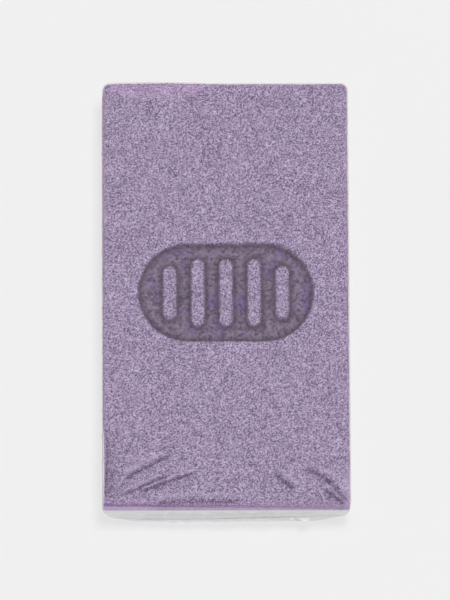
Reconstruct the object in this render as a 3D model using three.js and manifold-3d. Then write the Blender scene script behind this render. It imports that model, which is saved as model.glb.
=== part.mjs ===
// Scuff eraser block for shoes: a scrubbing layer of purple open-cell foam bonded to an eraser layer of
// white melamine foam, shrink-wrapped in clear film. It lies on its white side with the scrubbing face up.
// Millimetres, +Z up, +X across the block, +Y along it. The origin is under the middle of the wrapped block.
import * as THREE from "three";
import { mergeVertices } from "three/addons/utils/BufferGeometryUtils.js";
import Module from "manifold-3d";

// Driving dimensions of the foam block
const WIDTH = 65;
const LENGTH = 113;
const SCRUB_THICKNESS = 10;
const BOND_THICKNESS = 0.3;
const ERASER_THICKNESS = 20;

// Edges and upright corners of the foam, rounded by the tight film. The soft eraser layer gives way more
// towards its base, where its four corners are crushed round.
const TOP_EDGE_RADIUS = 2;
const BASE_EDGE_RADIUS = 3;
const FRONT_CORNER_RADIUS = 0.9;
const REAR_CORNER_RADIUS = 1.8;
const BASE_CORNER_RADIUS = 12;

// Film, with the bead that the hot wire leaves where it seals the front end and the two sides
const FILM_THICKNESS = 0.05;
const FILM_CLEARANCE = 0.2;
const SEAL_BEAD_WIDTH = 0.6;
const SEAL_BEAD_THICKNESS = 0.5;
const SEAL_HEIGHT = 10;
const SEAL_FADE_LENGTH = 8;
const VENT_DIAMETER = 2.5;
const VENT_FROM_REAR = 22;
const VENT_HEIGHT = 15;

// Grip panel that a hot die presses into the scrubbing face, with bars left standing in it
const PANEL_WIDTH = 46;
const PANEL_LENGTH = 26;
const PRESS_DEPTH = 1.6;
const BAR_COUNT = 5;
const BAR_WIDTH = 3.6;
const BAR_PITCH = 7.4;
const BAR_END_MARGIN = 4;

// Creases that the shrunk film presses into the scrubbing face near its front corners. Side -1 is the left
// corner and +1 the right one. Both ends are given as distances from the side and from the front edge.
const CREASE_HALF_WIDTH = 1.3;
const CREASES = [
  { side: -1, from: [0.7, 0.5], to: [4, 5], depth: 0.4 },
  { side: -1, from: [5.5, 8], to: [18.5, 14], depth: 0.6 },
  { side: -1, from: [3.5, 2.5], to: [18.5, 8], depth: 0.5 },
  { side: -1, from: [9, 3], to: [25.5, 9], depth: 0.6 },
  { side: -1, from: [6, 0.5], to: [34, 1.5], depth: 0.4 },
  { side: 1, from: [0.8, 0.8], to: [12.5, 10.5], depth: 0.7 },
  { side: 1, from: [2.5, 0.3], to: [8, 4.5], depth: 0.4 },
  { side: 1, from: [14.5, 3.8], to: [20, 8], depth: 0.4 },
];

// Where the film has drawn the rear edge of the scrubbing face down, left of the middle
const SLUMP_X = -18;
const SLUMP_HALF_LENGTH = 14;
const SLUMP_REACH = 4.5;
const SLUMP_DEPTH = 1.2;

// How finely the soft surfaces are divided
const FRONT_STEPS = 30;
const REAR_STEPS = 12;
const SIDE_STEPS = 20;
const SIDE_STEP_GROWTH = 1.7;
const CORNER_STEPS = 6;
const EDGE_STEPS = 3;
const WALL_STEPS = 4;
const FACE_INSETS = [4.5, 7, 9.5, 12.5, 16, 21];
const PANEL_ARC_STEPS = 8;
const BAR_ARC_STEPS = 4;
const VENT_SIDES = 16;

// Levels and places worked out from the driving dimensions
const FILM_OFFSET = FILM_CLEARANCE + FILM_THICKNESS;
const BASE_Z = FILM_OFFSET;
const BOND_Z = BASE_Z + ERASER_THICKNESS;
const SCRUB_Z = BOND_Z + BOND_THICKNESS;
const TOP_Z = SCRUB_Z + SCRUB_THICKNESS;
const HALF_WIDTH = WIDTH / 2;
const HALF_LENGTH = LENGTH / 2;
const BLOCK_Y = SEAL_BEAD_WIDTH / 2;

const wasm = await Module();
wasm.setup();

// A closed geometry as a solid that can be joined and cut.
function solidOf(geometry) {
  const bare = new THREE.BufferGeometry().setAttribute("position", geometry.getAttribute("position"));
  bare.setIndex(geometry.index);
  const merged = mergeVertices(bare, 1e-4);
  return new wasm.Manifold(
    new wasm.Mesh({
      numProp: 3,
      vertProperties: merged.attributes.position.array,
      triVerts: new Uint32Array(merged.index.array),
    }),
  );
}

// A solid as a geometry for a mesh.
function geometryOf(solid) {
  const mesh = solid.getMesh();
  const geometry = new THREE.BufferGeometry();
  geometry.setAttribute("position", new THREE.BufferAttribute(mesh.vertProperties, 3));
  geometry.setIndex(new THREE.BufferAttribute(mesh.triVerts, 1));
  geometry.computeVertexNormals();
  return geometry;
}

// Shares from 0 to 1 along an edge, in equal steps or in steps that grow from its start.
function shares(steps, growth = 1) {
  return Array.from({ length: steps + 1 }, (_, i) => (i / steps) ** growth);
}

// The radius of an upright corner at a height: its own radius down to the bond, then steadily rounder.
function cornerRadius(sharp, z) {
  const crushed = THREE.MathUtils.clamp((BOND_Z - z) / ERASER_THICKNESS, 0, 1);
  return THREE.MathUtils.lerp(sharp, BASE_CORNER_RADIUS, crushed);
}

// The block's outline at a height, drawn in by an inset, anticlockwise from the left front corner. Every
// outline has the same number of points, so that outlines at different insets can be joined.
function outline(inset, z) {
  const halfX = Math.max(HALF_WIDTH - inset, 0);
  const halfY = Math.max(HALF_LENGTH - inset, 0);
  const front = Math.max(cornerRadius(FRONT_CORNER_RADIUS, z) - inset, 0);
  const rear = Math.max(cornerRadius(REAR_CORNER_RADIUS, z) - inset, 0);
  const corners = [
    { x: -halfX + front, y: -halfY + front, radius: front, from: Math.PI },
    { x: halfX - front, y: -halfY + front, radius: front, from: 1.5 * Math.PI },
    { x: halfX - rear, y: halfY - rear, radius: rear, from: 0 },
    { x: -halfX + rear, y: halfY - rear, radius: rear, from: 0.5 * Math.PI },
  ];
  const pointOn = ({ x, y, radius, from }, share) => {
    const angle = from + (share * Math.PI) / 2;
    return new THREE.Vector2(x + radius * Math.cos(angle), y + radius * Math.sin(angle));
  };
  const rising = shares(SIDE_STEPS, SIDE_STEP_GROWTH);
  const falling = rising.map((share) => 1 - share).reverse();
  const divisions = [shares(FRONT_STEPS), rising, shares(REAR_STEPS), falling];
  return corners.flatMap((corner, i) => {
    const next = corners[(i + 1) % corners.length];
    const arc = shares(CORNER_STEPS).map((share) => pointOn(corner, share));
    const start = arc.at(-1);
    const end = pointOn(next, 0);
    const edge = divisions[i].slice(1, -1).map((share) => start.clone().lerp(end, share));
    return [...arc, ...edge];
  });
}

// How far the film has pressed the scrubbing face down at a place on it.
function pressedDepth(x, y) {
  let depth = 0;
  for (const { side, from, to, depth: deepest } of CREASES) {
    const place = new THREE.Vector2(HALF_WIDTH - side * x, HALF_LENGTH + y);
    const start = new THREE.Vector2(...from);
    const run = new THREE.Vector2(...to).sub(start);
    const along = place.clone().sub(start).dot(run) / run.lengthSq();
    const across = run.cross(place.sub(start)) / run.length();
    const fade = Math.max(1 - (2 * along - 1) ** 2, 0);
    depth += deepest * fade * Math.exp(-((across / CREASE_HALF_WIDTH) ** 2));
  }
  const slumpAlong = Math.max(1 - ((x - SLUMP_X) / SLUMP_HALF_LENGTH) ** 2, 0);
  const slumpAcross = Math.max(1 - (HALF_LENGTH - y) / SLUMP_REACH, 0);
  return depth + SLUMP_DEPTH * slumpAlong * slumpAcross;
}

// A closed skin through a stack of outlines, each { inset, z, pressed }, where pressed is the share of the
// film's pressing that the outline takes. The first and last outline close up on the block's middle line.
function loft(levels) {
  const middle = HALF_WIDTH;
  const stack = [{ ...levels[0], inset: middle }, ...levels, { ...levels.at(-1), inset: middle }];
  const positions = stack.flatMap(({ inset, z, pressed = 0 }) =>
    outline(inset, z).flatMap(({ x, y }) => [x, y + BLOCK_Y, z - pressed * pressedDepth(x, y)]),
  );
  const count = positions.length / 3 / stack.length;
  const triangles = [];
  for (let level = 0; level + 1 < stack.length; level++)
    for (let i = 0; i < count; i++) {
      const a = level * count + i;
      const b = level * count + ((i + 1) % count);
      triangles.push(a, b, b + count, a, b + count, a + count);
    }
  const geometry = new THREE.BufferGeometry();
  geometry.setAttribute("position", new THREE.Float32BufferAttribute(positions, 3));
  geometry.setIndex(triangles);
  return withoutSlivers(mergeVertices(geometry, 1e-4));
}

// Drops the triangles that lost a corner where an outline closes up.
function withoutSlivers(geometry) {
  const index = geometry.index.array;
  const kept = [];
  for (let i = 0; i < index.length; i += 3) {
    const [a, b, c] = index.slice(i, i + 3);
    if (a !== b && b !== c && c !== a) kept.push(a, b, c);
  }
  return geometry.setIndex(kept);
}

// The outlines that round over the base edge and climb the eraser layer's wall, on a skin that stands off
// the foam by an offset.
function baseEdgeAndWall(offset) {
  const radius = BASE_EDGE_RADIUS + offset;
  const wallStart = BASE_Z + BASE_EDGE_RADIUS;
  const edge = shares(EDGE_STEPS).map((share) => {
    const angle = (share * Math.PI) / 2;
    return { inset: BASE_EDGE_RADIUS - radius * Math.sin(angle), z: wallStart - radius * Math.cos(angle) };
  });
  const wallRise = BOND_Z - wallStart;
  const wall = shares(WALL_STEPS).map((share) => ({ inset: -offset, z: wallStart + share * wallRise }));
  return [...edge, ...wall.slice(1)];
}

// The outlines that round over the top edge and cross the scrubbing face.
function topEdgeAndFace(offset) {
  const radius = TOP_EDGE_RADIUS + offset;
  const edge = shares(EDGE_STEPS).map((share) => {
    const angle = (share * Math.PI) / 2;
    return {
      inset: TOP_EDGE_RADIUS - radius * Math.cos(angle),
      z: TOP_Z - TOP_EDGE_RADIUS + radius * Math.sin(angle),
      pressed: share,
    };
  });
  const face = FACE_INSETS.map((inset) => ({ inset, z: TOP_Z + offset, pressed: 1 }));
  return [...edge, ...face];
}

// A stadium: a bar with half-round ends, lying along X or standing along Y.
function stadium(width, length) {
  const radius = Math.min(width, length) / 2;
  const x = width / 2 - radius;
  const y = length / 2 - radius;
  const shape = new THREE.Shape();
  shape.absarc(x, y, radius, 0, 0.5 * Math.PI);
  shape.absarc(-x, y, radius, 0.5 * Math.PI, Math.PI);
  shape.absarc(-x, -y, radius, Math.PI, 1.5 * Math.PI);
  shape.absarc(x, -y, radius, 1.5 * Math.PI, 2 * Math.PI);
  return shape;
}

// A shape pushed up from one level to another.
function prism(shape, fromZ, toZ, curveSegments) {
  const depth = toZ - fromZ;
  const geometry = new THREE.ExtrudeGeometry(shape, { depth, bevelEnabled: false, curveSegments });
  return solidOf(geometry.translate(0, BLOCK_Y, fromZ));
}

// What the die presses away: a stadium panel, less the upright bars that keep their full height. The bars
// shorten with the panel's round ends.
function pressedPanel() {
  const floor = TOP_Z - PRESS_DEPTH;
  const above = TOP_Z + PRESS_DEPTH;
  const endRadius = PANEL_LENGTH / 2;
  const straight = PANEL_WIDTH / 2 - endRadius;
  let pressed = prism(stadium(PANEL_WIDTH, PANEL_LENGTH), floor, above, PANEL_ARC_STEPS);
  for (let i = 0; i < BAR_COUNT; i++) {
    const x = (i - (BAR_COUNT - 1) / 2) * BAR_PITCH;
    const pastStraight = Math.max(Math.abs(x) + BAR_WIDTH / 2 - straight, 0);
    const halfLength = Math.sqrt(endRadius ** 2 - pastStraight ** 2) - BAR_END_MARGIN;
    const outside = stadium(BAR_WIDTH, 2 * halfLength);
    const bar = prism(outside, floor - PRESS_DEPTH, above + PRESS_DEPTH, BAR_ARC_STEPS);
    pressed = pressed.subtract(bar.translate(x, 0, 0));
  }
  return pressed;
}

function scrubLayer() {
  const foam = loft([{ inset: 0, z: SCRUB_Z }, ...topEdgeAndFace(0)]);
  return geometryOf(solidOf(foam).subtract(pressedPanel()));
}

function bondSheet() {
  return loft([
    { inset: 0, z: BOND_Z },
    { inset: 0, z: SCRUB_Z },
  ]);
}

function eraserLayer() {
  return loft(baseEdgeAndWall(0));
}

// The thread of melted film round the front end and the sides. It thins out towards the rear, where the
// film is only folded.
function sealBead() {
  const reach = FILM_OFFSET + SEAL_BEAD_WIDTH;
  const x = HALF_WIDTH + reach;
  const front = -HALF_LENGTH - reach;
  const corner = cornerRadius(FRONT_CORNER_RADIUS, SEAL_HEIGHT) + reach;
  const rear = HALF_LENGTH - cornerRadius(REAR_CORNER_RADIUS, SEAL_HEIGHT);
  const shape = new THREE.Shape();
  shape.absarc(-x + corner, front + corner, corner, Math.PI, 1.5 * Math.PI);
  shape.absarc(x - corner, front + corner, corner, 1.5 * Math.PI, 2 * Math.PI);
  shape.lineTo(x, rear - SEAL_FADE_LENGTH);
  shape.lineTo(HALF_WIDTH, rear);
  shape.lineTo(-HALF_WIDTH, rear);
  shape.lineTo(-x, rear - SEAL_FADE_LENGTH);
  const from = SEAL_HEIGHT - SEAL_BEAD_THICKNESS / 2;
  return prism(shape, from, from + SEAL_BEAD_THICKNESS, CORNER_STEPS);
}

// A pinhole that lets the air out while the film shrinks, through the right side near the rear.
function ventHole() {
  const radius = VENT_DIAMETER / 2;
  const hole = new THREE.CylinderGeometry(radius, radius, VENT_DIAMETER, VENT_SIDES);
  hole.rotateZ(Math.PI / 2);
  return solidOf(hole.translate(HALF_WIDTH, HALF_LENGTH - VENT_FROM_REAR + BLOCK_Y, VENT_HEIGHT));
}

// One sheet of film, folded over the rear end, sealed along the front and the sides, and shrunk on.
function shrinkFilm() {
  const skin = (offset) => solidOf(loft([...baseEdgeAndWall(offset), ...topEdgeAndFace(offset)]));
  const film = skin(FILM_OFFSET).add(sealBead()).subtract(skin(FILM_CLEARANCE));
  return geometryOf(film.subtract(ventHole()));
}

function piece(name, geometry, material) {
  const mesh = new THREE.Mesh(geometry, new THREE.MeshStandardMaterial({ metalness: 0, ...material }));
  mesh.name = name;
  return mesh;
}

const block = new THREE.Group();
block.add(piece("scrub_layer", scrubLayer(), { color: 0x9d8da9, roughness: 0.95 }));
block.add(piece("bond_sheet", bondSheet(), { color: 0xe4dcc8, roughness: 0.6 }));
block.add(piece("eraser_layer", eraserLayer(), { color: 0xeeeeee, roughness: 0.95 }));
const clear = { transparent: true, opacity: 0.15 };
block.add(piece("shrink_film", shrinkFilm(), { color: 0xffffff, roughness: 0.1, ...clear }));

export default block;
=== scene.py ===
import math

import bmesh
import bpy
import numpy as np
from mathutils import Euler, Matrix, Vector


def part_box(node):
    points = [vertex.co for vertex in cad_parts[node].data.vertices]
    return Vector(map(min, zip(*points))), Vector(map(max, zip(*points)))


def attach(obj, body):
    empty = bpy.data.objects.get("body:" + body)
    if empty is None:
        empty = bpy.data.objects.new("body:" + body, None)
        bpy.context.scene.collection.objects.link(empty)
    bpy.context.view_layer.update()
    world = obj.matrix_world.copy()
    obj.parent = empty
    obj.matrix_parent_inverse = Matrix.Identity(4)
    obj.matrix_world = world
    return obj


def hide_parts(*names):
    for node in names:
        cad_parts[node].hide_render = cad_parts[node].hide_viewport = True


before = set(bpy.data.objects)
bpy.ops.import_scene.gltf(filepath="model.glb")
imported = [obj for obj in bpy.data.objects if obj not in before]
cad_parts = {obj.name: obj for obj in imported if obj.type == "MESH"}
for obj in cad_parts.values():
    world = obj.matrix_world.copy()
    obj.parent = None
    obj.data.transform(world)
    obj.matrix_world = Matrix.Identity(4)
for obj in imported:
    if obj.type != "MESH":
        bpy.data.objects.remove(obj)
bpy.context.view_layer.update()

MM = 0.001


# Eraser layer
# The lower slab of the block: white melamine foam, stiff and very fine-celled, cut with a hot wire. The
# tight film has crushed its lower edges and its four corners round, and draws in both its sides a little.
SIDE_SQUEEZE = Vector((0.1 * MM, 0, 0))
ERASER_GRID = 0.6 * MM
BASE_EDGE_RADIUS = 3 * MM
BASE_CORNER_RADIUS = 12 * MM
CRUSH_GROWTH = 2
FRONT_CORNER_RADIUS = 0.5 * MM
REAR_CORNER_RADIUS = 1.8 * MM
ERASER_WAVE = 5 * MM
ERASER_WAVE_DEPTH = 0.15 * MM
ERASER_PIT = 1.3 * MM
ERASER_PIT_DEPTH = 0.2 * MM
ERASER_CELL = 0.22 * MM
ERASER_MOTTLE = 4 * MM
ERASER_BUMP = 0.08 * MM
ERASER_BOND_FADE = 1 * MM
PORE_PATTERN = {"weight_1": -1, "weight_2": 1, "noise_intensity": 2.5}
DEEP_PIT_PERCENT = 95
CUT_STRETCH = 3.0
GRAIN_DETAIL = 2.0
GRAIN_ROUGHNESS = 0.7
SPECKLE_RANGE = (0.25, 0.75)
BUMP_STRENGTH = 0.4
FOAM_ROUGHNESS = 0.95
WEIGHT_STEPS = 100
TINY = 1e-9
MELAMINE_WHITE = (0.97, 0.95, 0.98, 1)
MELAMINE_GREY = (0.93, 0.91, 0.94, 1)
# The pore grey colours the fine holes, and is also painted shade in the pits.
MELAMINE_PORE_AND_PIT_SHADE = (0.79, 0.77, 0.81, 1)
# Each shade is given by the values of its pattern where it starts and where it is full, and by how much
# of its tone is mixed in there.
MELAMINE_SHADE = (0.3, 0.7, 1.0)
PORE_SHADE = (0.5, 0.9, 1.0)
PIT_SHADE = (0.2, 1.0, 0.4)


def divided_slab(name, low, high, cell, fine_face="top"):
    """A slab whose broad face, the top or the base, and four walls are divided into cells. The other face is
    left whole, unless both are fine."""
    size = high - low
    columns, rows, layers = (round(length / cell) for length in size)
    start, drop = (low.z, size.z) if fine_face == "base" else (high.z, -size.z)
    bpy.ops.object.select_all(action="DESELECT")
    bpy.ops.mesh.primitive_grid_add(x_subdivisions=columns, y_subdivisions=rows, size=1)
    slab = bpy.context.object
    slab.name = slab.data.name = name
    slab.scale = (size.x, size.y, 1)
    slab.location = ((low.x + high.x) / 2, (low.y + high.y) / 2, start)
    bpy.ops.object.transform_apply()
    bpy.ops.object.mode_set(mode="EDIT")
    bpy.ops.mesh.select_mode(type="EDGE")
    bpy.ops.mesh.select_all(action="SELECT")
    if fine_face == "both":
        bpy.ops.mesh.duplicate_move(TRANSFORM_OT_translate={"value": (0, 0, drop)})
        bpy.ops.mesh.select_all(action="SELECT")
        bpy.ops.mesh.region_to_loop()
        bpy.ops.mesh.bridge_edge_loops(number_cuts=layers - 1)
    else:
        bpy.ops.mesh.region_to_loop()
        bpy.ops.mesh.extrude_region_move(TRANSFORM_OT_translate={"value": (0, 0, drop)})
        bpy.ops.mesh.edge_face_add()
        bpy.ops.mesh.select_all(action="DESELECT")
        mesh = bmesh.from_edit_mesh(slab.data)
        for edge in mesh.edges:
            edge.select_set(abs(edge.verts[0].co.z - edge.verts[1].co.z) > size.z / 2)
        bmesh.update_edit_mesh(slab.data)
        bpy.ops.mesh.subdivide(number_cuts=layers - 1)
    bpy.ops.mesh.select_all(action="SELECT")
    bpy.ops.mesh.normals_make_consistent(inside=False)
    bpy.ops.object.mode_set(mode="OBJECT")
    bpy.ops.object.shade_smooth()
    return slab


def points_of(piece):
    points = np.empty(len(piece.data.vertices) * 3, np.float32)
    piece.data.vertices.foreach_get("co", points)
    return points.reshape(-1, 3).astype(float)


def move_points(piece, points):
    piece.data.vertices.foreach_set("co", points.astype(np.float32).ravel())
    piece.data.update()


def smooth_step(start, end, value):
    share = np.clip((value - start) / (end - start), 0, 1)
    return share * share * (3 - 2 * share)


def corner_radius(sharp, z):
    """The radius of an upright corner at a height: its own radius down to the bond, then rounder and rounder
    towards the base."""
    crushed = np.clip((eraser_high.z - z) / (eraser_high.z - eraser_low.z), 0, 1)
    return sharp + (BASE_CORNER_RADIUS - sharp) * crushed**CRUSH_GROWTH


def soften(points, low, high, top_radius, base_radius, offset=0):
    """Rounds a slab's top and base edges, then its upright corners, which grow rounder down the eraser
    layer. It works ring by ring: a point keeps its place round a ring, and the ring is drawn in."""
    middle = (low + high) / 2
    half = (high - low) / 2
    x = points[:, 0] - middle.x
    y = points[:, 1] - middle.y
    z = points[:, 2].copy()
    inset = np.maximum(np.minimum(half.x - abs(x), half.y - abs(y)), 0)
    drawn = inset.copy()
    for edge, radius, up in ((high.z, top_radius, 1), (low.z, base_radius, -1)):
        out = np.clip(radius - inset, 0, radius)
        rise = np.clip(radius - up * (edge - z), 0, radius)
        near = (out > 0) & (rise > 0)
        pull = radius / np.maximum(np.hypot(out, rise), TINY)
        drawn = np.where(near, radius - out * pull, drawn)
        z = np.where(near, edge - up * (radius - rise * pull), z)
    x *= np.maximum(half.x - drawn, TINY) / np.maximum(half.x - inset, TINY)
    y *= np.maximum(half.y - drawn, TINY) / np.maximum(half.y - inset, TINY)
    sharp = np.where(y < 0, FRONT_CORNER_RADIUS, REAR_CORNER_RADIUS)
    radius = np.maximum(corner_radius(sharp, z) + offset - drawn, 0)
    arm_x = np.maximum(abs(x) - (half.x - drawn - radius), 0)
    arm_y = np.maximum(abs(y) - (half.y - drawn - radius), 0)
    reach = np.maximum(np.hypot(arm_x, arm_y), TINY)
    pull = np.where((arm_x > 0) & (arm_y > 0), np.maximum(arm_x, arm_y) / reach, 1)
    x = np.sign(x) * (abs(x) - arm_x * (1 - pull))
    y = np.sign(y) * (abs(y) - arm_y * (1 - pull))
    return np.column_stack([x + middle.x, y + middle.y, z])


def apply_modifier(piece, modifier):
    bpy.context.view_layer.objects.active = piece
    bpy.ops.object.modifier_apply(modifier=modifier.name)


def sink(piece, kind, size, depth, group="", **settings):
    """Presses a noise pattern into a piece and returns how far each point went in. The pattern's dark places
    stay on the surface."""
    pattern = bpy.data.textures.new(f"{piece.name}_{kind.lower()}", kind)
    pattern.noise_scale = size
    for name, value in settings.items():
        setattr(pattern, name, value)
    before = points_of(piece)
    relief = piece.modifiers.new("relief", "DISPLACE")
    relief.texture = pattern
    relief.texture_coords = "LOCAL"
    relief.strength = -depth
    relief.mid_level = 0
    relief.vertex_group = group
    apply_modifier(piece, relief)
    return np.linalg.norm(points_of(piece) - before, axis=1)


def set_weights(piece, name, weights):
    """A vertex group with a weight for each point, in small steps."""
    group = piece.vertex_groups.new(name=name)
    steps = np.round(weights * WEIGHT_STEPS).astype(int)
    for step in np.unique(steps[steps > 0]):
        group.add(np.flatnonzero(steps == step).tolist(), step / WEIGHT_STEPS, "REPLACE")
    return name


def set_attribute(piece, name, values):
    attribute = piece.data.attributes.new(name, "FLOAT", "POINT")
    attribute.data.foreach_set("value", values.astype(np.float32))


def new_finish(name):
    """A material with its node tree and its Principled shader."""
    finish = bpy.data.materials.new(name)
    finish.use_nodes = True
    return finish, finish.node_tree, finish.node_tree.nodes["Principled BSDF"]


def add_node(tree, kind, inputs=(), **settings):
    """A node with its settings made, and its inputs set to a value or linked to another node's output."""
    node = tree.nodes.new(kind)
    for name, value in settings.items():
        setattr(node, name, value)
    for name, value in dict(inputs).items():
        if isinstance(value, bpy.types.NodeSocket):
            tree.links.new(value, node.inputs[name])
        else:
            node.inputs[name].default_value = value
    return node


def maths(tree, operation, first, second):
    return add_node(tree, "ShaderNodeMath", {0: first, 1: second}, operation=operation).outputs[0]


def mix_colours(tree, share, first, second):
    return add_node(tree, "ShaderNodeMix", {0: share, 6: first, 7: second}, data_type="RGBA").outputs[2]


def map_range(tree, value, low, high, to_low=0.0, to_high=1.0):
    limits = {"Value": value, "From Min": low, "From Max": high, "To Min": to_low, "To Max": to_high}
    return add_node(tree, "ShaderNodeMapRange", limits).outputs["Result"]


def read_attribute(tree, name):
    return add_node(tree, "ShaderNodeAttribute", attribute_name=name).outputs["Fac"]


def shade_towards(tree, colour, tone, share, start, end, most):
    """Mixes a tone into a colour: none of it where the share is at its start, the most at its end."""
    return mix_colours(tree, map_range(tree, share, start, end, 0.0, most), colour, tone)


def make_foam_grain():
    """The cut surface of a foam: Grain is low on its struts and high in its holes, and Mottle drifts slowly.
    Cutting has drawn the cells out upright on the walls."""
    group = bpy.data.node_groups.new("foam_grain", "ShaderNodeTree")
    for name in ("Cell Size", "Mottle Size"):
        group.interface.new_socket(name, in_out="INPUT", socket_type="NodeSocketFloat")
    for name in ("Grain", "Mottle"):
        group.interface.new_socket(name, in_out="OUTPUT", socket_type="NodeSocketFloat")
    given = group.nodes.new("NodeGroupInput").outputs
    result = group.nodes.new("NodeGroupOutput").inputs
    place = group.nodes.new("ShaderNodeTexCoord").outputs["Object"]
    squeeze = {0: place, 1: (1, 1, 1 / CUT_STRETCH)}
    drawn_out = add_node(group, "ShaderNodeVectorMath", squeeze, operation="MULTIPLY").outputs[0]
    fineness = maths(group, "DIVIDE", 1.0, given["Cell Size"])
    cells = add_node(group, "ShaderNodeTexVoronoi", {"Vector": drawn_out, "Scale": fineness})
    depth = add_node(group, "ShaderNodeSeparateColor", {"Color": cells.outputs["Color"]}).outputs["Red"]
    fine = {"Vector": drawn_out, "Scale": fineness, "Detail": GRAIN_DETAIL, "Roughness": GRAIN_ROUGHNESS}
    noise = add_node(group, "ShaderNodeTexNoise", fine)
    speckle = map_range(group, noise.outputs["Fac"], *SPECKLE_RANGE)
    average = maths(group, "MULTIPLY", maths(group, "ADD", depth, speckle), 0.5)
    group.links.new(average, result["Grain"])
    drift = maths(group, "DIVIDE", 1.0, given["Mottle Size"])
    blots = add_node(group, "ShaderNodeTexNoise", {"Vector": place, "Scale": drift, "Detail": GRAIN_DETAIL})
    group.links.new(blots.outputs["Fac"], result["Mottle"])
    return group


foam_grain = make_foam_grain()


def add_foam_grain(tree, cell_size, mottle_size):
    sizes = {"Cell Size": cell_size, "Mottle Size": mottle_size}
    node = add_node(tree, "ShaderNodeGroup", sizes, node_tree=foam_grain)
    return node.outputs["Grain"], node.outputs["Mottle"]


def add_bump(tree, height, strength, distance):
    """A normal from a height that is low where the surface stands out."""
    settings = {"Height": height, "Strength": strength, "Distance": distance}
    return add_node(tree, "ShaderNodeBump", settings, invert=True).outputs["Normal"]


eraser_low, eraser_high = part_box("eraser_layer")
eraser_low += SIDE_SQUEEZE
eraser_high -= SIDE_SQUEEZE
eraser = divided_slab("melamine_eraser", eraser_low, eraser_high, ERASER_GRID, fine_face="base")
move_points(eraser, soften(points_of(eraser), eraser_low, eraser_high, 0, BASE_EDGE_RADIUS))
below_bond = smooth_step(0, ERASER_BOND_FADE, eraser_high.z - points_of(eraser)[:, 2])
eraser_skin = set_weights(eraser, "skin", below_bond)
sink(eraser, "CLOUDS", ERASER_WAVE, ERASER_WAVE_DEPTH, eraser_skin)
pits = sink(eraser, "VORONOI", ERASER_PIT, ERASER_PIT_DEPTH, eraser_skin, **PORE_PATTERN)
set_attribute(eraser, "pit", pits / np.percentile(pits, DEEP_PIT_PERCENT))

eraser_finish, tree, shader = new_finish("melamine_foam")
grain, mottle = add_foam_grain(tree, ERASER_CELL, ERASER_MOTTLE)
white = shade_towards(tree, MELAMINE_WHITE, MELAMINE_GREY, mottle, *MELAMINE_SHADE)
white = shade_towards(tree, white, MELAMINE_PORE_AND_PIT_SHADE, grain, *PORE_SHADE)
# Painted shade: the pits darken with their depth.
white = shade_towards(tree, white, MELAMINE_PORE_AND_PIT_SHADE, read_attribute(tree, "pit"), *PIT_SHADE)
tree.links.new(white, shader.inputs["Base Color"])
tree.links.new(add_bump(tree, grain, BUMP_STRENGTH, ERASER_BUMP), shader.inputs["Normal"])
shader.inputs["Roughness"].default_value = FOAM_ROUGHNESS
eraser.data.materials.append(eraser_finish)
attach(eraser, "root")
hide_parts("eraser_layer")


# Bond sheet
# The hot-melt adhesive that joins the two foams, rolled on hot and pressed. Only its cut edge shows, as a
# thin dull line between purple and white.
BOND_CELL = 0.5 * MM
BOND_MOTTLE = 3 * MM
BOND_ROUGHNESS = 0.55
BOND_PALE = (0.74, 0.66, 0.73, 1)
BOND_DULL = (0.58, 0.50, 0.60, 1)
BOND_SHADE = (0.1, 0.4, 1.0)

bond_finish, tree, shader = new_finish("hot_melt")
grain, mottle = add_foam_grain(tree, BOND_CELL, BOND_MOTTLE)
streaked = maths(tree, "MULTIPLY", grain, mottle)
glue = shade_towards(tree, BOND_PALE, BOND_DULL, streaked, *BOND_SHADE)
tree.links.new(glue, shader.inputs["Base Color"])
shader.inputs["Roughness"].default_value = BOND_ROUGHNESS
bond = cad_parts["bond_sheet"]
bond.data.materials.clear()
bond.data.materials.append(bond_finish)


# Scrub layer
# The upper slab: purple open-cell polyurethane foam, coarse enough to scrub with. A hot die has pressed a
# grip panel with five bars into its face, and the tight film has creased it at the front corners.
SCRUB_GRID = 0.34 * MM
TOP_EDGE_RADIUS = 2 * MM
SCRUB_WAVE = 2.2 * MM
SCRUB_WAVE_DEPTH = 0.2 * MM
SCRUB_PIT = 0.7 * MM
SCRUB_PIT_DEPTH = 0.4 * MM
SCRUB_CELL = 0.21 * MM
SCRUB_MOTTLE = 6 * MM
SCRUB_BUMP = 0.12 * MM
SCRUB_BOND_FADE = 0.6 * MM
SCRUB_SPECULAR = 0.2
PANEL_WIDTH = 46 * MM
PANEL_LENGTH = 26 * MM
PRESS_DEPTH = 1.6 * MM
PRESS_SHOULDER = 0.5 * MM
PANEL_SHADE_REACH = 1.1 * MM
PRESSED_CELL = 0.7 * MM
PRESSED_MOTTLE = 5 * MM
PRESSED_CLOSED_SHARE = 0.75
PRESSED_ROUGHNESS = 0.5
BAR_COUNT = 5
BAR_WIDTH = 3.6 * MM
BAR_PITCH = 7.4 * MM
BAR_END_MARGIN = 4 * MM
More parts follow.
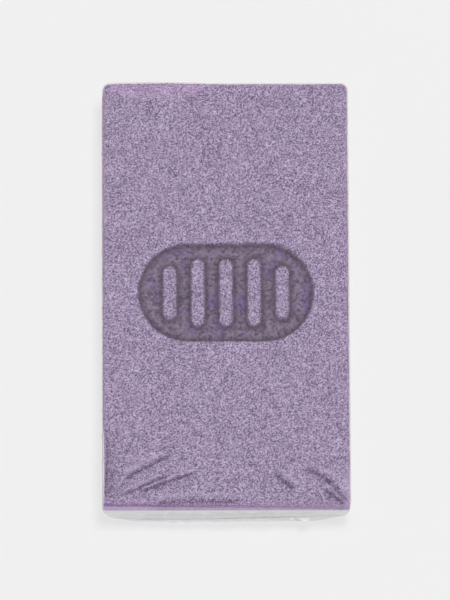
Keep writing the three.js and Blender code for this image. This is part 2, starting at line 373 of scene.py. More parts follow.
# Each crease is given by its corner, -1 left or +1 right, the distances of both its ends from that side and
# from the front edge, its depth and its half-width, all in millimetres.
CREASES = (
    (-1, (0.7, 0.3), (4, 4.5), 0.35, 0.5),
    (-1, (2.4, 9.9), (6.2, 7), 0.2, 1.2),
    (-1, (2.6, 15), (2.2, 1.5), 0.25, 3.5),
    (-1, (0.85, 0.5), (0.75, 22), 0.42, 0.9),
    (-1, (5.5, 6.7), (18.5, 13.6), 0.5, 1.0),
    (-1, (4, 2.4), (18.3, 8), 0.55, 0.6),
    (-1, (9.3, 3.2), (25.4, 9.1), 0.6, 0.6),
    (-1, (13, 0.5), (37, 0.9), 0.38, 1.2),
    (-1, (19.4, 11.6), (24, 12.8), 0.3, 0.5),
    (1, (0.9, 0.7), (5.2, 5.8), 0.55, 0.9),
    (1, (4.4, 5), (12.3, 10.3), 0.55, 1.3),
    (1, (1.4, 0.1), (7.6, 4.2), 0.6, 0.9),
    (1, (14.7, 3.8), (19.9, 8.6), 0.58, 1.0),
    (1, (22.2, 14.7), (25.4, 17.3), 0.2, 0.5),
)
CREASE_WANDER = 0.18 * MM
CREASE_WANDER_TURN = 5
CREASE_FADE_IN = (-0.03, 0.12)
CREASE_FADE_OUT = (1.03, 0.8)
FOLD_WIDTH_SHARE = 0.5
RIDGE_WIDTH_SHARE = 0.6
RIDGE_SHIFT = 1.5
SLUMP_X = -18 * MM
SLUMP_HALF_LENGTH = 14 * MM
SLUMP_REACH = 4.5 * MM
SLUMP_DEPTH = 1.2 * MM
SLUMP_BULGE = 0.3 * MM
SLUMP_RIM_END = 0.25
RIM_FADE = (1.4 * MM, 0.2 * MM)
FRONT_FADE = (1.6 * MM, 0.6 * MM)
LIP_HEIGHT = 3.0 * MM
LIP_TILT = -0.075
LIP_WIDTH = 4 * MM
LIP_WANDER = 0.5 * MM
LIP_BLUR = 1.2 * MM
LIGHTER_CORNER_WIDTH = 3 * MM
LIGHTER_CORNER_LENGTH = 14 * MM
# Each wave is given by its length and its phase, and the overtones of all waves by their strength and by
# what they multiply the turn and the phase with.
LIP_WAVE = (3 * MM, 0.3)
OVERTONES = ((1, 1, 1), (0.7, 1.83, 2.1), (0.5, 3.1, 3.7))
RIPPLE_HEIGHT = 1.8
STRUT_LAVENDER = (0.71, 0.582, 0.826, 1)
CELL_SHADOW = (0.035, 0.005, 0.06, 1)
# Painted light: the foam's edges and its slumped rear edge are lighter and pinker.
LIT_EDGE_ORCHID = (0.785, 0.57, 0.865, 1)
# Painted shade: a dark band across the front wall under its top edge.
LIP_SHADOW_VIOLET = (0.20, 0.02, 0.36, 1)
# Painted light: a lighter band at the foot of the front wall, whose hue drifts between pink and violet.
LIT_FOOT_PINK = (0.80, 0.40, 0.82, 1)
LIT_FOOT_VIOLET = (0.66, 0.46, 0.93, 1)
# Painted shade along the creases.
CREASE_SHADOW_VIOLET = (0.09, 0.045, 0.13, 1)
PRESSED_PLUM = (0.285, 0.216, 0.318, 1)
PRESSED_VIOLET = (0.245, 0.17, 0.38, 1)
# Painted shade towards the pressed panel's walls; it also darkens the skin's grain.
PRESSED_SHADOW = (0.05, 0.035, 0.055, 1)
RIM_LIGHT_TINT = (0.0, 1.0, 0.8)
MOTTLE_SHADE = (0.3, 0.7, 0.12)
GRAIN_SHADE = (0.34, 0.68, 0.86)
RIDGE_LIGHT = (0.2, 1.0, 0.35)
RIM_LIGHT = (0.0, 1.0, 0.15)
FOOT_MOTTLE_SHADE = (0.4, 0.6, 1.0)
FOOT_SHADE = (0.0, 1.0, 0.5)
LIP_SHADE = (0.0, 1.0, 0.45)
CREASE_SHADE = (0.1, 1.0, 0.25)
FOLD_SHADE = (0.1, 0.65, 0.65)
PRESSED_MOTTLE_SHADE = (0.5, 0.7, 1.0)
PRESSED_GRAIN_SHADE = (0.3, 0.8, 0.75)
SHOULDER_SHADE = (0.1, 0.9, 0.8)
# The grain breaks up the painted shade of the folds: a range of the grain, and the range of strengths that it
# maps to.
FOLD_BREAKS = (0.2, 0.7, 0.35, 1.0)

scrub_low, scrub_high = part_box("scrub_layer")
scrub_low += SIDE_SQUEEZE
scrub_high -= SIDE_SQUEEZE
scrub_middle = (scrub_low + scrub_high) / 2


def stadium_distance(x, y, width, length):
    """Distance outside a stadium, or minus the distance inside it."""
    radius = min(width, length) / 2
    past_x = np.maximum(abs(x) - width / 2 + radius, 0)
    past_y = np.maximum(abs(y) - length / 2 + radius, 0)
    return np.hypot(past_x, past_y) - radius


def panel_distance(x, y):
    """Distance to the area that the die presses: the panel's stadium, less the bars that stand in it."""
    end_radius = PANEL_LENGTH / 2
    straight = PANEL_WIDTH / 2 - end_radius
    distance = stadium_distance(x, y, PANEL_WIDTH, PANEL_LENGTH)
    for i in range(BAR_COUNT):
        bar_x = (i - (BAR_COUNT - 1) / 2) * BAR_PITCH
        past_straight = max(abs(bar_x) + BAR_WIDTH / 2 - straight, 0)
        half_length = math.sqrt(end_radius**2 - past_straight**2) - BAR_END_MARGIN
        distance = np.maximum(distance, -stadium_distance(x - bar_x, y, BAR_WIDTH, 2 * half_length))
    return distance


def crease_depth(points, width_share=1, shift=0):
    """How far the film has pressed the face down along its creases, or along lines shifted to their rear by a
    share of their half-width."""
    depth = np.zeros(len(points))
    for side, start, end, deepest, width in CREASES:
        to_x = scrub_high.x - side * points[:, 0] - start[0] * MM
        to_y = points[:, 1] - scrub_low.y - start[1] * MM
        run_x = (end[0] - start[0]) * MM
        run_y = (end[1] - start[1]) * MM
        length = math.hypot(run_x, run_y)
        along = (to_x * run_x + to_y * run_y) / length**2
        wander = CREASE_WANDER * np.sin(CREASE_WANDER_TURN * (along + start[0]))
        across = (to_y * run_x - to_x * run_y) / length + wander
        off_line = (across / (width * MM) - shift) / width_share
        fade = smooth_step(*CREASE_FADE_IN, along) * smooth_step(*CREASE_FADE_OUT, along)
        depth = np.maximum(depth, deepest * MM * fade * np.exp(-(off_line**2)))
    return depth


def ripple(place, wavelength, phase):
    """An uneven wave along a line, from about -1 to 1."""
    turn = 2 * math.pi * place / wavelength
    waves = (strength * np.sin(faster * turn + ahead * phase) for strength, faster, ahead in OVERTONES)
    return sum(waves) / RIPPLE_HEIGHT


def slump_share(points):
    """Where the film has drawn the rear edge down, left of the middle: 0 away from it and 1 at the edge."""
    along = np.maximum(1 - ((points[:, 0] - SLUMP_X) / SLUMP_HALF_LENGTH) ** 2, 0)
    across = np.maximum(1 - (scrub_high.y - points[:, 1]) / SLUMP_REACH, 0)
    return along * across


scrub = divided_slab("scrub_foam", scrub_low, scrub_high, SCRUB_GRID)
points = soften(points_of(scrub), scrub_low, scrub_high, TOP_EDGE_RADIUS, 0)
on_top = smooth_step(scrub_high.z - TOP_EDGE_RADIUS, scrub_high.z, points[:, 2])
from_side = scrub_high.x - scrub_middle.x - abs(points[:, 0] - scrub_middle.x)
from_end = scrub_high.y - scrub_middle.y - abs(points[:, 1] - scrub_middle.y)
from_edge = np.minimum(from_side, from_end)
to_panel = panel_distance(points[:, 0] - scrub_middle.x, points[:, 1] - scrub_middle.y)
pressed = on_top * smooth_step(PRESS_SHOULDER / 2, -PRESS_SHOULDER, to_panel)
slumped = slump_share(points)
creased = crease_depth(points)
above_bond = smooth_step(0, SCRUB_BOND_FADE, points[:, 2] - scrub_low.z)
points[:, 1] += SLUMP_BULGE * slumped * above_bond
points[:, 2] -= on_top * (creased + SLUMP_DEPTH * slumped) + PRESS_DEPTH * pressed
move_points(scrub, points)
scrub_skin = set_weights(scrub, "skin", above_bond)
open_cells = set_weights(scrub, "open_cells", above_bond * (1 - PRESSED_CLOSED_SHARE * pressed))
sink(scrub, "CLOUDS", SCRUB_WAVE, SCRUB_WAVE_DEPTH, scrub_skin)
pits = sink(scrub, "VORONOI", SCRUB_PIT, SCRUB_PIT_DEPTH, open_cells, **PORE_PATTERN)
set_attribute(scrub, "pit", pits / np.percentile(pits, DEEP_PIT_PERCENT))
set_attribute(scrub, "pressed", pressed)
set_attribute(scrub, "creased", creased / creased.max())
set_attribute(scrub, "fold", crease_depth(points, FOLD_WIDTH_SHARE) / creased.max())
# Painted highlights: a pale ridge beside each crease; the right front corner of the face is painted lighter
# too.
lighter_corner = smooth_step(LIGHTER_CORNER_WIDTH, LIGHTER_CORNER_WIDTH / 3, scrub_high.x - points[:, 0])
lighter_corner *= smooth_step(LIGHTER_CORNER_LENGTH, LIGHTER_CORNER_LENGTH / 3, points[:, 1] - scrub_low.y)
ridge_highlight = crease_depth(points, RIDGE_WIDTH_SHARE, RIDGE_SHIFT) / creased.max()
set_attribute(scrub, "ridge_highlight", np.maximum(ridge_highlight, lighter_corner))
# Painted shade in the pressed panel, darker towards its walls.
set_attribute(scrub, "shoulder", np.exp(to_panel / PANEL_SHADE_REACH))
# Painted light along the edges and over the slumped rear edge.
rim = np.maximum(smooth_step(*RIM_FADE, from_edge), smooth_step(0, SLUMP_RIM_END, slumped))
in_front = smooth_step(*FRONT_FADE, points[:, 1] - scrub_low.y)
# Painted shade: a dark band across the upper front wall, above the foot.
lip_edge = scrub_low.z + LIP_HEIGHT + LIP_TILT * points[:, 0]
lip_edge += LIP_WANDER * ripple(points[:, 0], *LIP_WAVE)
above_lip_edge = points[:, 2] - lip_edge
# Painted light: the foot of the front wall below the dark band is lighter.
below_lip = smooth_step(LIP_BLUR, -LIP_BLUR, above_lip_edge)
shaded_lip = smooth_step(LIP_WIDTH + LIP_BLUR, LIP_WIDTH - LIP_BLUR, above_lip_edge) - below_lip
set_attribute(scrub, "rim", rim)
set_attribute(scrub, "shaded_lip", in_front * shaded_lip * (1 - on_top))
set_attribute(scrub, "lit_foot", in_front * below_lip)

scrub_finish, tree, shader = new_finish("scrub_foam")
grain, mottle = add_foam_grain(tree, SCRUB_CELL, SCRUB_MOTTLE)
# Painted light: the edges are lighter and pinker, with less dark in their holes.
strut = shade_towards(tree, STRUT_LAVENDER, LIT_EDGE_ORCHID, read_attribute(tree, "rim"), *RIM_LIGHT_TINT)
strut = shade_towards(tree, strut, CELL_SHADOW, mottle, *MOTTLE_SHADE)
foam = shade_towards(tree, strut, CELL_SHADOW, grain, *GRAIN_SHADE)
# Painted shade: the pits darken with their depth.
foam = shade_towards(tree, foam, CELL_SHADOW, read_attribute(tree, "pit"), *PIT_SHADE)
# Painted highlights on the ridges beside the creases and on the right front corner.
foam = shade_towards(tree, foam, strut, read_attribute(tree, "ridge_highlight"), *RIDGE_LIGHT)
foam = shade_towards(tree, foam, strut, read_attribute(tree, "rim"), *RIM_LIGHT)
# Painted light at the foot of the front wall.
lit_foot_tone = shade_towards(tree, LIT_FOOT_PINK, LIT_FOOT_VIOLET, mottle, *FOOT_MOTTLE_SHADE)
foam = shade_towards(tree, foam, lit_foot_tone, read_attribute(tree, "lit_foot"), *FOOT_SHADE)
# Painted shade across the upper front wall.
foam = shade_towards(tree, foam, LIP_SHADOW_VIOLET, read_attribute(tree, "shaded_lip"), *LIP_SHADE)
# Painted shade along the creases, broken up by the grain along their folds.
foam = shade_towards(tree, foam, CREASE_SHADOW_VIOLET, read_attribute(tree, "creased"), *CREASE_SHADE)
broken = maths(tree, "MULTIPLY", read_attribute(tree, "fold"), map_range(tree, grain, *FOLD_BREAKS))
foam = shade_towards(tree, foam, CELL_SHADOW, broken, *FOLD_SHADE)
skin_grain, skin_mottle = add_foam_grain(tree, PRESSED_CELL, PRESSED_MOTTLE)
skin = shade_towards(tree, PRESSED_PLUM, PRESSED_VIOLET, skin_mottle, *PRESSED_MOTTLE_SHADE)
# Painted shade near the panel's walls.
skin = shade_towards(tree, skin, PRESSED_SHADOW, read_attribute(tree, "shoulder"), *SHOULDER_SHADE)
skin = shade_towards(tree, skin, PRESSED_SHADOW, skin_grain, *PRESSED_GRAIN_SHADE)
pressed_here = read_attribute(tree, "pressed")
tree.links.new(mix_colours(tree, pressed_here, foam, skin), shader.inputs["Base Color"])
roughness = map_range(tree, pressed_here, 0.0, 1.0, FOAM_ROUGHNESS, PRESSED_ROUGHNESS)
tree.links.new(roughness, shader.inputs["Roughness"])
shader.inputs["Specular IOR Level"].default_value = SCRUB_SPECULAR
tree.links.new(add_bump(tree, grain, BUMP_STRENGTH, SCRUB_BUMP), shader.inputs["Normal"])
scrub.data.materials.append(scrub_finish)
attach(scrub, "root")
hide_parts("scrub_layer")


# Shrink film
# One sheet of clear polyolefin film, folded over the rear end, welded and trimmed round the other three
# sides and shrunk on with hot air. It bridges the pressed panel and creases and puckers at the front.
FILM_GRID = 0.8 * MM
FILM_GAP = 0.2 * MM
FILM_THICKNESS = 0.05 * MM
FILM_INDEX = 1.45
FILM_ROUGHNESS = 0.16
FILM_CREASE_SHARE = 0.6
FILM_WAVE = 4 * MM
FILM_WAVE_DEPTH = 0.08 * MM
WELD_HEIGHT = 10 * MM
WELD_RISE = 3 * MM
WELD_RISE_SPAN = (-10 * MM, 20 * MM)
WELD_REACH = 0.45 * MM
WELD_SPREAD = 1.5 * MM
WELD_FADE_LENGTH = 12 * MM
WELD_RIGHT_FADE = (19 * MM, 26 * MM)
WELD_LEFT_FADE = (-23 * MM, -29 * MM)
WELD_SIDE_FADE = (1 * MM, 7 * MM)
WELD_CORNER_LOSS = 0.8
WELD_SIDE_LOSS = 0.9
WALL_REACH = 0.8 * MM
PUCKER_DEPTH = 0.22 * MM
PUCKER_SPREAD = 5 * MM
FRONT_PUCKER_WAVE = (6 * MM, 0.4)
SIDE_PUCKER_WAVE = (7 * MM, 1.0)
GUSSET_X = 19.5 * MM
GUSSET_HALF_WIDTH = 4 * MM
GUSSET_HEIGHT = 9 * MM
GUSSET_HALF_HEIGHT = 4 * MM
GUSSET_REACH = 0.9 * MM
VENT_DIAMETER = 2.5 * MM
VENT_HEIGHT = 15 * MM
VENT_FROM_REAR = 22 * MM
PUNCH_SIDES = 32
PUNCH_LENGTH = 4 * MM
FILM_DIMPLE = 0.9 * MM
DIMPLE_STRENGTH = 0.35
DIMPLE_DETAIL = 2.0
DIMPLE_DEPTH = 0.08 * MM
DIMPLE_FADE = (0.3, 0.6)
FILM_TINT = (0.985, 0.985, 0.985, 1)
MILK_ROUGHNESS = 0.6
GLOSS_RANGE = (0.03, 1.0)
FILM_LOOK = {"least_gloss": 0.022, "most_gloss": 0.4, "milkiness": 0.006, "milk_grey": 0.9}

film_low = eraser_low - Vector((FILM_GAP,) * 3)
film_high = scrub_high + Vector((FILM_GAP,) * 3)


def weld_height(x):
    """The weld's height: it climbs a little towards the right."""
    return WELD_HEIGHT + WELD_RISE * smooth_step(*WELD_RISE_SPAN, x)


def weld_strength(x, y):
    """How much of the weld stands out: all of it in front, little on the sides and at the front corners, and
    nothing at the fold over the rear."""
    to_right = 1 - WELD_CORNER_LOSS * smooth_step(*WELD_RIGHT_FADE, x)
    to_left = 1 - WELD_CORNER_LOSS * smooth_step(*WELD_LEFT_FADE, x)
    to_sides = 1 - WELD_SIDE_LOSS * smooth_step(*WELD_SIDE_FADE, y - film_low.y)
    return to_right * to_left * to_sides * smooth_step(0, WELD_FADE_LENGTH, film_high.y - y)


def tent_shape(points):
    """How far the film stands out along its weld, on a wall."""
    off_weld = (points[:, 2] - weld_height(points[:, 0])) / WELD_SPREAD
    return WELD_REACH * weld_strength(points[:, 0], points[:, 1]) * np.exp(-(off_weld**2))


def wall_side(points):
    """The outward direction of the film's wall by each point, round its corners too, and how near the point
    is to that wall: 1 on it and 0 further in."""
    middle = (film_low + film_high) / 2
    half = (film_high - film_low) / 2
    x = points[:, 0] - middle.x
    y = points[:, 1] - middle.y
    sharp = np.where(y < 0, FRONT_CORNER_RADIUS, REAR_CORNER_RADIUS)
    radius = corner_radius(sharp, points[:, 2]) + FILM_GAP
    arm_x = np.maximum(abs(x) - half.x + radius, 0)
    arm_y = np.maximum(abs(y) - half.y + radius, 0)
    reach = np.maximum(np.hypot(arm_x, arm_y), TINY)
    near = smooth_step(WALL_REACH, 0, radius - reach)
    return np.sign(x) * arm_x / reach, np.sign(y) * arm_y / reach, near


film = divided_slab("film_wrap", film_low, film_high, FILM_GRID, fine_face="both")
points = soften(
    points_of(film), film_low, film_high, TOP_EDGE_RADIUS + FILM_GAP, BASE_EDGE_RADIUS + FILM_GAP, FILM_GAP
)
on_top = smooth_step(film_high.z - TOP_EDGE_RADIUS, film_high.z, points[:, 2])
out_x, out_y, near_wall = wall_side(points)
slumped = slump_share(points)
above_bond = smooth_step(-SCRUB_BOND_FADE, 0, points[:, 2] - eraser_high.z)
points[:, 1] += SLUMP_BULGE * slumped * above_bond
points[:, 2] -= on_top * (crease_depth(points, FILM_CREASE_SHARE) + SLUMP_DEPTH * slumped)
pucker = PUCKER_DEPTH * np.exp(-abs(points[:, 2] - weld_height(points[:, 0])) / PUCKER_SPREAD)
pucker *= smooth_step(0, WELD_FADE_LENGTH, film_high.y - points[:, 1])
waves = abs(out_y) * ripple(points[:, 0], *FRONT_PUCKER_WAVE)
waves += abs(out_x) * ripple(points[:, 1], *SIDE_PUCKER_WAVE)
gusset = np.maximum(1 - abs(points[:, 0] - GUSSET_X) / GUSSET_HALF_WIDTH, 0)
gusset *= np.maximum(1 - abs(points[:, 2] - GUSSET_HEIGHT) / GUSSET_HALF_HEIGHT, 0)
gusset *= np.maximum(-out_y, 0)
push = near_wall * (tent_shape(points) + pucker * waves + GUSSET_REACH * gusset)
points[:, 0] += push * out_x
points[:, 1] += push * out_y
move_points(film, points)
sink(film, "CLOUDS", FILM_WAVE, FILM_WAVE_DEPTH)
thickness = film.modifiers.new("film_thickness", "SOLIDIFY")
thickness.thickness = FILM_THICKNESS
thickness.offset = 1
apply_modifier(film, thickness)

bpy.ops.object.select_all(action="DESELECT")
bpy.ops.mesh.primitive_cylinder_add(
    vertices=PUNCH_SIDES,
    radius=VENT_DIAMETER / 2,
    depth=PUNCH_LENGTH,
    location=(film_high.x, film_high.y - VENT_FROM_REAR, VENT_HEIGHT),
    rotation=(0, math.radians(90), 0),
)
punch = bpy.context.object
vent = film.modifiers.new("vent", "BOOLEAN")
vent.object = punch
apply_modifier(film, vent)
bpy.data.objects.remove(punch)


def make_film_finish(name, least_gloss, most_gloss, milkiness, milk_grey):
    """Clear film: see-through, with some milkiness and a gloss that grows towards grazing views. Its dimples
    show less and less there, where one dimple stands before the next."""
    finish, tree, shader = new_finish(name)
    place = tree.nodes.new("ShaderNodeTexCoord").outputs["Object"]
    fine = {"Vector": place, "Scale": 1 / FILM_DIMPLE, "Detail": DIMPLE_DETAIL}
    dimples = add_node(tree, "ShaderNodeTexNoise", fine)
    edge_on = add_node(tree, "ShaderNodeFresnel", {"IOR": FILM_INDEX}).outputs[0]
    strength = map_range(tree, edge_on, *DIMPLE_FADE, DIMPLE_STRENGTH, 0.0)
    dimpled = add_bump(tree, dimples.outputs["Fac"], strength, DIMPLE_DEPTH)
    shader.inputs["Base Color"].default_value = (milk_grey, milk_grey, milk_grey, 1)
    shader.inputs["Roughness"].default_value = MILK_ROUGHNESS
    clear = add_node(tree, "ShaderNodeBsdfTransparent", {"Color": FILM_TINT})
    hazy = add_node(tree, "ShaderNodeMixShader", {0: milkiness, 1: clear.outputs[0], 2: shader.outputs[0]})
    roughness = map_range(tree, edge_on, *DIMPLE_FADE, FILM_ROUGHNESS, 0.0)
    gloss = add_node(tree, "ShaderNodeBsdfAnisotropic", {"Roughness": roughness, "Normal": dimpled})
    grazing = add_node(tree, "ShaderNodeFresnel", {"IOR": FILM_INDEX, "Normal": dimpled}).outputs[0]
    share = map_range(tree, grazing, *GLOSS_RANGE, least_gloss, most_gloss)
    outside = maths(tree, "SUBTRACT", 1.0, tree.nodes.new("ShaderNodeNewGeometry").outputs["Backfacing"])
    shiny = {0: maths(tree, "MULTIPLY", share, outside), 1: hazy.outputs[0], 2: gloss.outputs[0]}
    surface = add_node(tree, "ShaderNodeMixShader", shiny)
    tree.links.new(surface.outputs[0], tree.nodes["Material Output"].inputs["Surface"])
    return finish


film.data.materials.append(make_film_finish("clear_film", **FILM_LOOK))
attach(film, "root")
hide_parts("shrink_film")


# Weld bead
# The line where a hot wire welded and cut the film's two layers on three sides: a thin grey thread of
# melted film. A narrow torn flap is left on it along the front, with two small folded ears beside it.
BEAD_DIAMETER = 0.5 * MM
BEAD_STEP = 1 * MM
BEAD_TURN_POINTS = 10
BEAD_WANDER = 0.15 * MM
BEAD_WAVE = (13 * MM, 0.7)
BEAD_LEAST = 0.1
BEAD_FRONT_ADDED = 0.18
BEAD_FRONT_FADE = (8 * MM, 1 * MM)
# Each knot in the bead is given by its place across the front and its half-length, in millimetres, and by
# how much of the bead's diameter it adds.
BEAD_KNOTS = ((12, 6, 0.6), (3, 6, 0.25), (-20.8, 1.2, 0.5), (-17.2, 1, 0.4))
FLAP_START = -22 * MM
FLAP_END = 15 * MM
FLAP_REACH = 0.9 * MM
FLAP_CURL = 0.4 * MM
SMALL_EAR_START = 16.2 * MM
EAR_START = 18.2 * MM
EAR_END = 23 * MM
EAR_REACH = 1.4 * MM
EAR_RISE = 0.8 * MM
FLAP_GRID = 0.34 * MM
FLAP_ROWS = 4
FLAP_THICKNESS = 0.06 * MM
FLAP_TAPER = 0.12
EAR_TAPER = 0.5
TORN_MEAN = 0.8
TORN_DEPTH = 0.35
TORN_WAVE = (11 * MM, 2.0)
CURL_WAVE = (16 * MM, 1.3)
THREAD_ROUNDNESS = 2
THREAD_END = 0.2
THREAD_END_GROWTH = 0.1
BEAD_LOOK = {"least_gloss": 0.06, "most_gloss": 0.4, "milkiness": 0.5, "milk_grey": 0.8}
FLAP_LOOK = {"least_gloss": 0.06, "most_gloss": 0.5, "milkiness": 0.4, "milk_grey": 0.9}
EAR_LOOK = {"least_gloss": 0.06, "most_gloss": 0.5, "milkiness": 0.8, "milk_grey": 0.97}


def half_bead(side):
    """Places along one half of the weld, +1 right or -1 left, from the rear of that side to the middle of the
    front, each with its outward direction."""
    radius = corner_radius(FRONT_CORNER_RADIUS, weld_height(side * film_high.x)) + FILM_GAP
    centre_x = film_high.x - radius
    centre_y = film_low.y + radius
    rear_y = film_high.y - WELD_FADE_LENGTH / 2
    spots = [(film_high.x, y, 1, 0) for y in np.arange(rear_y, centre_y, -BEAD_STEP)]
    for turn in np.radians(np.linspace(0, -90, BEAD_TURN_POINTS)):
        out_x = math.cos(turn)
        out_y = math.sin(turn)
        spots.append((centre_x + radius * out_x, centre_y + radius * out_y, out_x, out_y))
    spots += [(x, film_low.y, 0, -1) for x in np.arange(centre_x - BEAD_STEP, 0, -BEAD_STEP)]
    return np.array(spots) * (side, 1, side, 1)


def bead_path():
    """Points along the weld, from the rear of the right side round the front to the rear of the left side."""
    spots = np.concatenate([half_bead(1), half_bead(-1)[::-1]])
    x, y, out_x, out_y = spots.T
    reach = WELD_REACH * weld_strength(x, y)
    z = weld_height(x) + BEAD_WANDER * ripple(np.arange(len(spots)) * BEAD_STEP, *BEAD_WAVE)
    return np.column_stack([x + out_x * reach, y + out_y * reach, z])


def bead_thickness(path):
    """The bead's thickness along the weld, as a share of its diameter: thin, more so on the sides, with
    thicker knots in front."""
    x, y, _ = path.T
    in_front = smooth_step(*BEAD_FRONT_FADE, y - film_low.y)
    thickness = BEAD_LEAST + BEAD_FRONT_ADDED * in_front
    for place, half_length, added in BEAD_KNOTS:
        thickness += in_front * added * np.exp(-(((x - place * MM) / (half_length * MM)) ** 2))
    return thickness


def make_thread(name, path, diameter, thickness):
    """A round thread of film along a path, with a share of its diameter at each point, thin at both ends."""
    curve = bpy.data.curves.new(name, "CURVE")
    curve.dimensions = "3D"
    curve.bevel_depth = diameter / 2
    curve.bevel_resolution = THREAD_ROUNDNESS
    curve.use_fill_caps = True
    line = curve.splines.new("POLY")
    line.points.add(len(path) - 1)
    for i, place in enumerate(path):
        from_end = min(i, len(path) - 1 - i)
        line.points[i].co = (*place, 1)
        line.points[i].radius = min(1, THREAD_END + THREAD_END_GROWTH * from_end) * thickness[i]
    thread = bpy.data.objects.new(name, curve)
    bpy.context.collection.objects.link(thread)
    bpy.ops.object.select_all(action="DESELECT")
    thread.select_set(True)
    bpy.context.view_layer.objects.active = thread
    bpy.ops.object.convert(target="MESH")
    bpy.ops.object.shade_smooth()
    return thread


def make_flap(name, start, end, reach, rise, curl, taper):
    """A strip of film that stands out from the weld along the front, with an uneven torn edge. It narrows
    towards its ends, over a share of its length."""
    bpy.ops.object.select_all(action="DESELECT")
    columns = round((end - start) / FLAP_GRID)
    bpy.ops.mesh.primitive_grid_add(x_subdivisions=columns, y_subdivisions=FLAP_ROWS, size=1)
    flap = bpy.context.object
    flap.name = flap.data.name = name
    share, across = (points_of(flap)[:, :2] + 0.5).T
    x = start + (end - start) * share
    torn = smooth_step(0, taper, share) * smooth_step(1, 1 - taper, share)
    torn *= TORN_MEAN + TORN_DEPTH * ripple(x, *TORN_WAVE)
    y = film_low.y - WELD_REACH - reach * torn * across
    z = weld_height(x) + rise * torn * across + curl * across * ripple(x, *CURL_WAVE)
    move_points(flap, np.column_stack([x, y, z]))
    thickness = flap.modifiers.new("film_thickness", "SOLIDIFY")
    thickness.thickness = FLAP_THICKNESS
    thickness.offset = 0
    apply_modifier(flap, thickness)
    bpy.ops.object.shade_smooth()
    return flap


weld_line = bead_path()
bead = make_thread("weld_bead", weld_line, BEAD_DIAMETER, bead_thickness(weld_line))
flap = make_flap("weld_flap", FLAP_START, FLAP_END, FLAP_REACH, 0, FLAP_CURL, FLAP_TAPER)
small_ear = make_flap("small_ear", SMALL_EAR_START, EAR_START, EAR_REACH, EAR_RISE, 0, EAR_TAPER)
ear = make_flap("weld_ear", EAR_START, EAR_END, EAR_REACH, EAR_RISE, 0, EAR_TAPER)
bead.data.materials.append(make_film_finish("weld_bead", **BEAD_LOOK))
flap.data.materials.append(make_film_finish("weld_flap", **FLAP_LOOK))
ear_finish = make_film_finish("weld_ear", **EAR_LOOK)
small_ear.data.materials.append(ear_finish)
ear.data.materials.append(ear_finish)


# Film pleat
# A fine gather where the shrinking film has folded double. It runs along the left upper edge to the front
# corner and over it, and stands up as a pale line.
PLEAT_DIAMETER = 0.25 * MM
PLEAT_STEP = 0.6 * MM
PLEAT_WANDER = 0.05 * MM
PLEAT_WAVE = (7 * MM, 1.1)
PLEAT_SWELL = 0.2
PLEAT_SWELL_WAVE = (10.2 * MM, 0.5)
PLEAT_START = -36 * MM
PLEAT_INSET = 0.33 * MM
PLEAT_DROP = 0.86 * MM
PLEAT_LOOK = {"least_gloss": 0.03, "most_gloss": 0.15, "milkiness": 0.7, "milk_grey": 0.97}

pleat_x = film_low.x + PLEAT_INSET
pleat_turns = (
    Vector((pleat_x, PLEAT_START, film_high.z - PLEAT_DROP)),
    Vector((pleat_x, film_low.y + PLEAT_INSET, film_high.z - PLEAT_DROP)),
    Vector((pleat_x, film_low.y, film_high.z - TOP_EDGE_RADIUS)),
)
pleat_path = []
for start, end in zip(pleat_turns, pleat_turns[1:]):
    count = round((end - start).length / PLEAT_STEP)
    pleat_path += [start.lerp(end, i / count) for i in range(count)]
pleat_path = np.array(pleat_path)
along_pleat = np.arange(len(pleat_path)) * PLEAT_STEP
pleat_path[:, 0] += PLEAT_WANDER * ripple(along_pleat, *PLEAT_WAVE)
pleat_thickness = 1 + PLEAT_SWELL * ripple(along_pleat, *PLEAT_SWELL_WAVE)
pleat = make_thread("film_pleat", pleat_path, PLEAT_DIAMETER, pleat_thickness)
pleat.data.materials.append(make_film_finish("film_pleat", **PLEAT_LOOK))
film_trims = [bead, flap, small_ear, ear, pleat]
for piece in film_trims:
    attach(piece, "root")


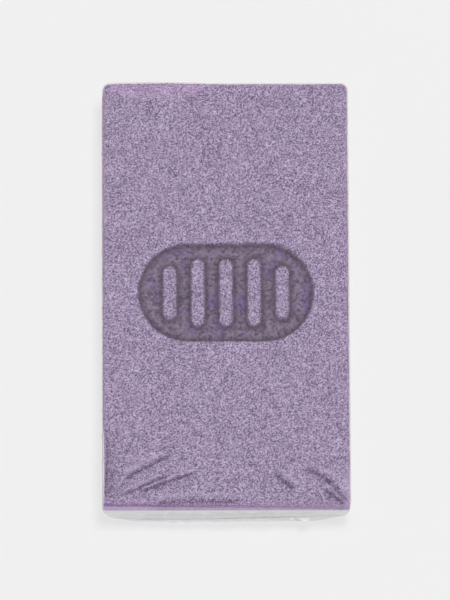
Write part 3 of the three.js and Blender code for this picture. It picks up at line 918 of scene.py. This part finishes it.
# Studio
# A pale sheet that glows, as on a light table, in a white room. One small lamp above and a little to the
# right throws soft narrow shadows in front and on the left, and a polarising filter keeps its glare off the
# film. The camera looks down from just in front and to the left.
WHITE = (1, 1, 1, 1)
FLOOR_SIZE = 4.0
FLOOR_GREY = (0.30, 0.30, 0.30, 1)
FLOOR_GLOW = 0.575
ROOM_LIGHT = 0.6
LAMP_SIZE = 0.14
LAMP_POWER = 6.9
LAMP_PLACE = (0.05, 0, 1.3)
VIEW_TURN = Euler((math.radians(10.7), math.radians(-1.0), math.radians(-0.28)))
VIEW_DISTANCE = 1.85
VIEW_CENTRE = Vector((-0.30 * MM, -1.82 * MM, scrub_high.z))
VIEW_HEIGHT = 157.8 * MM
SENSOR = 36.0

bpy.ops.object.select_all(action="DESELECT")
bpy.ops.mesh.primitive_plane_add(size=FLOOR_SIZE)
floor = bpy.context.object
floor.name = "floor"
floor_finish, tree, shader = new_finish("floor")
shader.inputs["Base Color"].default_value = FLOOR_GREY
shader.inputs["Roughness"].default_value = 1.0
shader.inputs["Specular IOR Level"].default_value = 0.0
shader.inputs["Emission Color"].default_value = WHITE
shader.inputs["Emission Strength"].default_value = FLOOR_GLOW
floor.data.materials.append(floor_finish)

room = bpy.data.worlds.new("room")
bpy.context.scene.world = room
room.use_nodes = True
room.node_tree.nodes["Background"].inputs["Color"].default_value = WHITE
room.node_tree.nodes["Background"].inputs["Strength"].default_value = ROOM_LIGHT

bpy.ops.object.light_add(type="AREA", location=LAMP_PLACE)
lamp = bpy.context.object
lamp.data.shape = "SQUARE"
lamp.data.size = LAMP_SIZE
lamp.data.energy = LAMP_POWER
lamp.visible_glossy = False

bpy.ops.object.camera_add()
camera = bpy.context.object
camera.location = VIEW_CENTRE + VIEW_TURN.to_matrix() @ Vector((0, 0, VIEW_DISTANCE))
camera.rotation_euler = VIEW_TURN
camera.data.sensor_width = SENSOR
camera.data.lens = SENSOR * VIEW_DISTANCE / VIEW_HEIGHT
bpy.context.scene.camera = camera
bpy.context.scene.view_settings.view_transform = "Standard"
